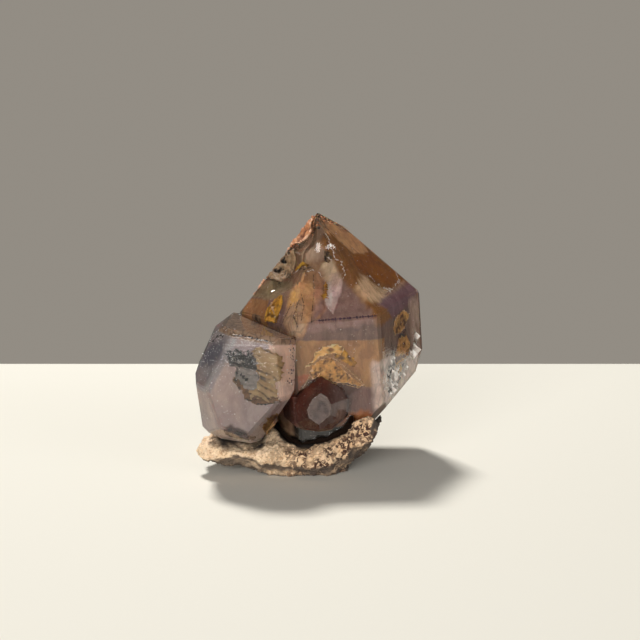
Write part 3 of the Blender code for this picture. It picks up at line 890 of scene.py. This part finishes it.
def point_lines(front, right, front_tip, right_tip, left_tip):
    white = plain_mineral("torn white edge", (0.95, 0.92, 0.88), (0.75, 0.66, 0.60), 0.6 * MM, matt=0.2)
    straw = plain_mineral("straw edge", (0.82, 0.58, 0.34), (0.55, 0.33, 0.15), 0.8 * MM)
    black = plain_mineral("dark crack", (0.05, 0.03, 0.03), (0.015, 0.010, 0.010), 0.8 * MM)
    violet = plain_mineral("violet line", (0.13, 0.06, 0.11), (0.06, 0.03, 0.05), 1.0 * MM)
    amber = plain_mineral("amber slit", (0.60, 0.32, 0.04), (0.34, 0.16, 0.015), 0.8 * MM)
    etched = [(-7.6, -5.5), (-2.5, -4.6), (1.5, -8.2), (6.4, -7.0), (8.6, -2.0), (11.6, -2.5),
              (11.8, -6.6), (-7.2, -14.4)]
    listed = [
        ("white_torn_edges", white, 1.2, [
            (front_tip, [(-1.9, 12.2), (-1.2, 11.0), (-0.9, 9.5), (-0.3, 8.2), (0.0, 6.6), (0.9, 6.2)],
                0.26, 0.35),
            (front_tip, [(0.9, 6.2), (1.3, 4.9), (1.3, 4.2), (1.7, 3.3), (1.2, 2.2)], 0.24, 0.35),
            (front_tip, [(-1.6, 7.2), (-1.0, 6.9), (-0.6, 6.2)], 0.24, 0.3),
            (front_tip, [(-5.4, 4.5), (-4.4, 4.9), (-3.7, 4.7)], 0.26, 0.5),
            (front_tip, [(-3.3, 4.5), (-2.8, 4.0), (-2.5, 3.3)], 0.2, 0.5),
            (front_tip, [(-8.2, 5.5), (-7.5, 5.3), (-6.4, 5.9)], 0.24, 0.4),
            (front_tip, [(-2.3, -1.8), (-1.7, -3.7), (-0.9, -4.9)], 0.16, 0.5),
            (front_tip, [(-4.2, 2.6), (-4.1, 1.2), (-4.3, 0.4)], 0.12, 0.5),
            (right_tip, [(-1.5, 1.7), (0.2, 1.2), (0.8, 0.2)], 0.30, 0.5),
            (right_tip, [(0.9, -0.4), (1.7, -1.8), (2.4, -2.6)], 0.5, 0.6),
            (right_tip, [(1.2, -3.0), (3.0, -2.7), (4.2, -2.6)], 0.5, 0.5),
            (right_tip, [(5.0, -2.3), (7.0, -1.9), (8.9, -1.5)], 0.4, 0.4),
            (right_tip, [(7.6, -2.4), (8.8, -0.6), (9.3, 0.2)], 0.24, 0.3),
            (right, [(-0.8, -9.6), (0.6, -10.4), (1.3, -9.7)], 0.7, 0.4),
        ]),
        ("white_streaks", white, 1.0, streaks(right, 11, 26, etched, (1.8, 5.0), 1.5)),
        ("dark_streaks", black, 1.0, streaks(right, 12, 9, etched, (1.2, 3.8), 0.9)),
        ("straw_edges", straw, 0.5, [
            (front, [(-2.3, -3.7), (-1.2, -4.2), (1.4, -6.5), (4.4, -9.5)], 0.42, 0.40),
            (front, [(-7.2, -5.6), (-5.5, -5.0), (-4.2, -3.7), (-2.2, -3.4)], 0.30, 0.35),
            (front, [(-4.4, -7.8), (-2.4, -8.7), (0.2, -8.9), (3.2, -9.7)], 0.26, 0.5),
            (front, [(-6.0, -7.0), (-7.8, -10.4), (-9.9, -13.8)], 0.22, 0.4),
            (left_tip, [(-1.1, -3.6), (0.2, -4.6), (1.7, -5.6)], 0.7, 0.3),
            (front_tip, [(-8.9, -0.9), (-7.8, -2.9), (-7.6, -6.2)], 0.3, 0.35),
        ]),
        ("dark_cracks", black, 0.8, [
            (front_tip, [(-2.2, 12.1), (-1.5, 10.4), (-1.2, 8.8), (-2.0, 6.6), (-1.0, 5.9)], 0.22,
                0.30),
            (front_tip, [(-6.9, 5.3), (-5.9, 5.0), (-4.5, 5.4)], 0.22, 0.3),
            (front_tip, [(-4.1, 4.1), (-4.2, 0.4), (-4.6, -3.2), (-5.0, -6.8)], 0.10, 0.20),
            (front_tip, [(-8.3, -2.2), (-9.4, -4.6), (-11.2, -7.6)], 0.15, 0.3),
            (front_tip, [(-7.0, -1.8), (-8.2, -5.4), (-7.4, -7.4)], 0.14, 0.3),
            (front_tip, [(-6.7, 0.1), (-6.2, -3.1), (-6.9, -6.7)], 0.12, 0.3),
            (left_tip, [(-6.8, 4.6), (-4.5, 5.2), (-2.9, 4.6), (-0.8, 5.1)], 0.3, 0.25),
            (left_tip, [(-6.4, 2.2), (-4.0, 1.4), (-2.4, 2.4), (-0.8, 2.3)], 0.3, 0.25),
            (left_tip, [(-5.8, 0.5), (-3.1, 0.9), (-1.8, 0.1)], 0.25, 0.3),
            (left_tip, [(0.8, 13.2), (0.2, 10.9), (-2.3, 8.4), (-3.9, 6.8)], 0.3, 0.3),
            (right, [(-3.6, -3.2), (-2.9, -5.6), (-3.3, -8.4), (-1.9, -10.6)], 0.30, 0.35),
            (right, [(0.6, -2.6), (2.4, -2.9), (4.4, -2.1)], 0.3, 0.3),
            (right_tip, [(-2.9, 13.9), (-1.3, 8.0), (-3.4, 2.8)], 0.16, 0.4),
        ]),
        ("violet_lines", violet, 0.05, [
            (front, [(-5.0, 3.05), (0.0, 3.35), (6.2, 3.75)], 0.40, 0.14),
            (front_tip, [(-3.2, -5.9), (-2.6, -6.9)], 0.14, 0.3),
        ]),
        ("amber_slits", amber, 0.2, [
            (front_tip, [(-1.9, 2.2), (-1.9, 0.4), (-2.2, -1.0), (-2.6, -2.0)], 1.2, 0.45),
            (left_tip, [(-1.2, -5.0), (0.4, -2.9), (1.0, -1.6)], 0.5, 0.35),
        ]),
    ]
    for name, material, jag, lines in listed:
        finish_piece(strips(name, lines, jag), material, "smoky_amethyst")


def point_grains(heart, grains, right, left_tip):
    places = places_of(heart.data)
    orange = plain_mineral("crust grain", (0.60, 0.27, 0.12), (0.30, 0.11, 0.04), 0.5 * MM, matt=0.6)
    glint = plain_mineral("glint", (0.96, 0.93, 0.90), (0.85, 0.78, 0.74), 0.5 * MM, matt=0.12)
    flat, out = left_tip.seen(places)
    crusted = [(-3.4, 15), (0.3, 15), (0.6, 11), (-2.2, 8), (-5.2, 6), (-6, 8)]
    ridge = step_up(-1.5, 0.0, inside_by(flat, crusted)) * step_up(-1.5, -1.2, out)
    strew("crust_grains", heart, ridge, grains, orange, "smoky_amethyst", Density=3.2e6, Smallest=0.25 * MM,
          Largest=0.7 * MM, Lowest=0.75 * MM, Highest=1.0 * MM, Squash=(1.0, 0.85, 0.6), Seed=3)
    peak = step_up(2.0 * MM, 1.2 * MM, places[:, 2].max() - places[:, 2])
    strew("apex_grains", heart, peak, grains, orange, "smoky_amethyst", Density=5.0e6, Smallest=0.3 * MM,
          Largest=0.8 * MM, Lowest=0.7 * MM, Highest=1.0 * MM, Squash=(1.0, 0.85, 0.7), Seed=4)
    flat, out = right.seen(places)
    foot = [(-9, -5), (12, -7), (9, -12), (-10, -15)]
    sparse = 0.18 + step_up(-0.5, 0.5, inside_by(flat, foot)) * step_up(-1.5, -1.2, out)
    strew("glints_in_the_point", heart, sparse * facing_front(heart.data), grains, glint, "smoky_amethyst",
          Density=0.7e6, Smallest=0.10 * MM, Largest=0.34 * MM, Lowest=0.1 * MM, Highest=0.6 * MM,
          Squash=(1.0, 0.6, 0.25), Seed=8)


# ---------------------------------------------------------------- the pale side crystal

def wrinkled(x, y):
    along = 0.50 * x + 0.87 * y + 0.5 * noise.noise(Vector((x, y, 2)) / 2.2)
    fold = noise.noise(Vector((along * 1.7, (0.87 * x - 0.50 * y) * 0.22, 4)))
    return 0.42 * fold + 0.08 * noise.noise(Vector((x, y, 7)) / 0.4)


def striped(x, y):
    along = 0.25 * x + 0.97 * y + 0.3 * noise.noise(Vector((x, y, 2)) / 1.5)
    fold = noise.noise(Vector((along * 1.5, x * 0.22, 4)))
    return 0.34 * fold + 0.05 * noise.noise(Vector((x, y, 7)) / 0.5)


def left_crystal(grains):
    broad = Face("left_crystal", (-0.09, -0.99, 0.05))
    upper = Face("left_crystal", (-0.73, -0.57, 0.37))
    bevel = Face("left_crystal", (0.74, -0.66, 0.14))
    ledge = Face("left_crystal", (0.17, 0.02, 0.98))
    finish_piece(skin_of("left_crystal", "left_crystal_skin", 0.07),
                 skin_material("pale amethyst skin", (0.97, 0.95, 0.96), (0.70, 0.63, 0.64), 16, 0.05),
                 "pale_amethyst", "left_crystal")
    heart = heart_of("left_crystal", "left_crystal_heart", SIDE_SKIN, finest=0.24, coarsest=0.3)
    places = places_of(heart.data)
    stain = smoky_stain(places, warm=(0.53, 0.40, 0.34), cool=(0.44, 0.35, 0.32),
                        purple=(0.36, 0.28, 0.30), level=24.0, seed=6.0)
    wide = [(-20, -20), (20, -20), (20, 20), (-20, 20)]
    layers = [
        (upper, wide, 0.5, (0.36, 0.32, 0.31)),
        (upper, [(0.0, 3.4), (4.2, 5.0), (4.8, 1.6), (2.0, -0.3), (-0.6, -0.8)], 0.8,
            (0.16, 0.155, 0.18)),
        (bevel, wide, 0.5, (0.90, 0.63, 0.48)),
        (broad, [(-1.2, 10), (-7, -0.6), (-7, 3), (-3, 11)], 1.2, (0.62, 0.55, 0.54)),
        (broad, [(-9, -2), (-2, -4), (1, -9), (-7, -12)], 1.5, (0.42, 0.32, 0.29)),
        (broad, [(3.3, -7.9), (4.8, -5.1), (7.0, -4.4), (9, -5.7), (5.9, -9.1), (3.6, -10.5),
            (2.7, -9.8)], 0.35, (0.36, 0.21, 0.07), 0.5),
        (broad, [(-3.3, -8), (-1.8, -7.2), (1.4, -8.5), (1.6, -10.6), (-2.9, -10.4)], 0.35,
            (0.075, 0.028, 0.02)),
        (broad, [(-9, -7.3), (-4.8, -7.6), (-3.4, -8.6), (-3.4, -12), (-9, -11)], 0.3,
            (0.70, 0.68, 0.65)),
        (ledge, wide, 0.5, (0.42, 0.27, 0.165), 0.45),
    ]
    paint(heart, SIDE_SKIN, 0.7, layers, stain)
    cloudy = heart_material("pale amethyst heart", (0.70, 0.66, 0.68), 2.2 * MM)
    finish_piece(heart, cloudy, "pale_amethyst")

    tan = mineral_material("wrinkled tan growth", (0.52, 0.35, 0.17), (0.40, 0.25, 0.11), 1.5 * MM,
                           (0.050, 0.030, 0.016), rim=(0.42, 0.25, 0.10))
    slate = mineral_material("striped grey growth", (0.38, 0.33, 0.29), (0.24, 0.21, 0.19), 1.2 * MM,
                             (0.010, 0.010, 0.011), rim=(0.10, 0.08, 0.08))
    rust = mineral_material("rusty patch", (0.34, 0.19, 0.06), (0.17, 0.08, 0.025), 0.8 * MM,
                            (0.04, 0.018, 0.010))
    brown = mineral_material("brown rim", (0.27, 0.135, 0.05), (0.12, 0.055, 0.02), 0.7 * MM,
                             (0.025, 0.014, 0.008))
    blood = mineral_material("dark red patch", (0.14, 0.06, 0.045), (0.06, 0.022, 0.018), 0.8 * MM,
                             (0.015, 0.008, 0.008))
    listed = [
        ("tan_growth", broad, [(2.1, 5.6), (2.4, 7), (3.5, 7.4), (5.9, 6.3), (7.3, 5.3), (7.8, 3.9),
            (7.3, 1.4), (6.5, 0.3), (7, -2.5), (4.8, -3), (3.0, -3), (1.2, -2.2), (0.2, -0.9),
            (1.6, -0.8), (3.0, -0.4), (3.4, 1.2), (2.9, 2.7), (3.2, 4.2)], 0.45, 0.5, wrinkled, tan),
        ("striped_growth", broad, [(-2.4, 5.3), (-1.8, 6.2), (0.2, 5.8), (2.1, 5.8), (3.6, 4.6),
            (3.4, 2.0), (3.6, -1.0), (1.3, -2.1), (0.2, -0.6), (-0.9, 1.2), (-0.9, 3.2), (-2.3, 4)],
            0.7, 0.4, striped, slate),
        ("brown_rim", broad, [(-1.3, 1.8), (-0.2, 1.4), (1.0, -0.1), (2.2, -1.4), (3.6, -2.0),
            (5.2, -1.9), (7.1, -1.6), (7.2, -2.7), (5, -3.4), (3.1, -3.4), (1.2, -2.7), (0.0, -0.9),
            (-1.2, 0.6)], 0.36, 0.4, lumpy, brown),
        ("rusty_patch", broad, [(3.8, -7.9), (4.9, -5.6), (6.3, -5.0), (7.0, -5.9), (5.5, -8.2),
            (4, -9.3)], 0.4, 0.5, lumpy, rust),
        ("dark_red_patch", broad, [(-3.1, -8.2), (-1.8, -7.5), (-0.2, -8.5), (2.5, -9.4), (2.8, -10.2),
            (-2.7, -9.6)], 0.4, 0.5, lumpy, blood),
    ]
    for name, face, outline, depth, thickness, relief, material in listed:
        made = sheet(name, face, outline, depth, thickness, relief, step=0.16, ragged=0.5, seed=3.0)
        finish_piece(made, material, "pale_amethyst")

    black = plain_mineral("ledge crack", (0.05, 0.04, 0.04), (0.012, 0.010, 0.010), 0.8 * MM)
    cracks = strips("ledge_cracks", [
        (broad, [(-1.4, 9.2), (1.2, 9.0), (3.6, 8.4), (6.0, 8.0)], 0.35, 0.15),
        (upper, [(4.2, 5.6), (2.1, 5.2), (0.9, 3.6)], 0.4, 0.2),
        (broad, [(-2.6, 5.3), (-1.9, 6.4), (0.1, 6.0), (1.9, 6.1), (2.4, 5.0), (1.4, 4.2)], 0.7, 0.35),
        (broad, [(-2.3, 5.1), (-0.5, 5.6), (1.6, 5.3), (2.9, 4.6)], 1.1, 0.35),
        (broad, [(-2.2, 4.5), (0.0, 4.9), (2.2, 4.5), (3.0, 3.7)], 0.9, 0.4),
        (broad, [(-1.3, 3.7), (0.6, 4.1), (2.6, 3.6)], 0.7, 0.4),
        (broad, [(-0.9, 2.6), (0.4, 2.0), (1.6, 0.6)], 0.5, 0.45),
        (broad, [(1.2, -2.3), (3.2, -3.2), (4.9, -3.2), (7.0, -2.7)], 0.3, 0.35),
    ], 0.8)
    finish_piece(cracks, black, "pale_amethyst")
    glint = plain_mineral("pale glint", (0.96, 0.95, 0.93), (0.85, 0.82, 0.80), 0.5 * MM, matt=0.12)
    amount = 0.35 + 0.65 * step_up(0.1, 0.5, soft_noise(places, 3.5 * MM, 21.0))
    far_left, high_up = step_up(-13 * MM, -17 * MM, places[:, 0]), step_up(19 * MM, 23 * MM, places[:, 2])
    amount = (amount + 3.0 * far_left * high_up) * facing_front(heart.data)
    strew("glints_in_the_side_crystal", heart, amount, grains, glint, "pale_amethyst",
          Density=0.9e6, Smallest=0.10 * MM, Largest=0.34 * MM, Lowest=0.1 * MM, Highest=0.7 * MM,
          Squash=(1.0, 0.7, 0.3), Seed=5)
    dark = plain_mineral("dark dot", (0.16, 0.10, 0.14), (0.05, 0.03, 0.05), 0.5 * MM, matt=0.5)
    flat, out = bevel.seen(places)
    seam = [(0.3, 7.5), (1.3, 7.5), (0.9, 1.5), (-1.0, -0.7), (-1.5, -0.3), (0.1, 2.0)]
    line = step_up(-0.9, -0.4, inside_by(flat, seam)) * step_up(-1.5, -1.1, out)
    strew("dots_in_the_side_crystal", heart, line, grains, dark, "pale_amethyst",
          Density=3.0e6, Smallest=0.15 * MM, Largest=0.45 * MM, Lowest=0.2 * MM, Highest=0.6 * MM,
          Squash=(1.0, 0.7, 0.6), Seed=6)


# ---------------------------------------------------------------- the foot crystal

def front_crystal():
    end = Face("front_crystal", (0, -1, 0.09))
    finish_piece(skin_of("front_crystal", "front_crystal_skin", 0.12, dirt_and_shade_reach=2.2),
                 skin_material("iron stained skin", (0.96, 0.88, 0.84), (0.55, 0.30, 0.24), 60, 0.04),
                 "stained_quartz", "front_crystal")
    heart = heart_of("front_crystal", "front_crystal_heart", FOOT_SKIN, finest=0.2, coarsest=0.5)
    places = places_of(heart.data)
    low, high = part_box("front_crystal")
    stain = smoky_stain(places, warm=(0.21, 0.050, 0.026), cool=(0.12, 0.032, 0.018),
                        purple=(0.09, 0.030, 0.022), level=12.0, seed=11.0)
    across = (places[:, 0] - low.x) / (high.x - low.x)
    hazy = (step_up(0.62, 0.8, across) * 0.8)[:, None]
    stain = stain * (1 - hazy) + np.array((0.24, 0.15, 0.135)) * hazy
    store(heart.data, "stain", stain)
    store(heart.data, "crazed", np.zeros(len(places)))
    finish_piece(heart, heart_material("iron stained heart", (0.5, 0.4, 0.4), 1.2 * MM), "stained_quartz")
    frost = mineral_material("frosted end", (0.22, 0.155, 0.135), (0.15, 0.105, 0.095), 0.7 * MM,
                             (0.10, 0.07, 0.065), rim=(0.26, 0.19, 0.17), deep=0.1)
    shape = whole_faces("front_crystal")
    flat = max((f for f in shape.faces if f.normal.dot(end.out) > SAME_WAY), key=lambda f: f.calc_area())
    corners, _ = end.seen(np.array([vert.co[:] for vert in flat.verts]))
    shape.free()
    frosted_end = sheet("frosted_end", end, corners, 0.12, 0.4, ragged=0.1, step=0.12)
    finish_piece(frosted_end, frost, "stained_quartz")


# ---------------------------------------------------------------- floor, light and camera

def build_floor():
    shape = bmesh.new()
    bmesh.ops.create_cube(shape, size=1)
    shape.transform(Matrix.Translation(FLOOR_CENTRE) @ Matrix.Diagonal((*FLOOR_SIZE, 1)))
    floor = as_object("floor", shape)
    made, tree = new_material("pale floor")
    pale = (0.78, 0.765, 0.705, 1)
    shader = put(tree, "ShaderNodeBsdfPrincipled", {"Base Color": pale, "Roughness": 0.85})
    floor.data.materials.append(finish_material(made, tree, shader))


def build_room():
    """The wall that the camera sees, and a dimmer one that lights the crystals and shows in them."""
    world = bpy.data.worlds.new("room")
    bpy.context.scene.world = world
    world.use_nodes = True
    tree = world.node_tree
    tree.nodes.clear()
    wall = put(tree, "ShaderNodeBackground", {"Color": (0.29, 0.265, 0.23, 1), "Strength": 1.0})
    dim = put(tree, "ShaderNodeBackground", {"Color": (0.31, 0.295, 0.27, 1), "Strength": 0.28})
    path = put(tree, "ShaderNodeLightPath")
    mix = put(tree, "ShaderNodeMixShader", {0: path.outputs["Is Camera Ray"], 1: dim.outputs[0],
                                            2: wall.outputs[0]})
    put(tree, "ShaderNodeOutputWorld", {"Surface": mix.outputs[0]})


def build_lamp(name, direction, side, power, colour):
    """A square lamp that stands in a direction from the cluster and faces it."""
    data = bpy.data.lights.new(name, "AREA")
    data.shape = "SQUARE"
    data.size = side
    data.energy = power
    data.color = colour
    made = bpy.data.objects.new(name, data)
    bpy.context.scene.collection.objects.link(made)
    towards = Vector(direction).normalized()
    made.location = towards * LAMP_DISTANCE
    made.rotation_mode = "QUATERNION"
    made.rotation_quaternion = towards.to_track_quat("Z", "Y")


def build_camera():
    data = bpy.data.cameras.new("camera")
    data.lens = LENS
    data.clip_start = 0.01
    camera = bpy.data.objects.new("camera", data)
    bpy.context.scene.collection.objects.link(camera)
    back = Vector((0, -math.cos(CAMERA_RISE), math.sin(CAMERA_RISE)))
    camera.location = CAMERA_TARGET + back * CAMERA_DISTANCE
    camera.rotation_mode = "QUATERNION"
    camera.rotation_quaternion = back.to_track_quat("Z", "Y")
    bpy.context.scene.camera = camera


build_camera()
build_floor()
build_room()
build_lamp("key", (-0.213, 0.477, 0.852), 0.13, 6.4, (1.0, 0.97, 0.91))
build_lamp("fill", (-0.30, -0.92, 0.22), 0.45, 5.6, (1.0, 0.98, 0.95))
build_lamp("side fill", (0.78, -0.58, 0.20), 0.40, 1.6, (1.0, 0.98, 0.95))
grain_tree = scatter_tree()
rock_piece()
main_crystal(grain_tree)
left_crystal(grain_tree)
front_crystal()
bpy.context.scene.view_settings.view_transform = "Standard"
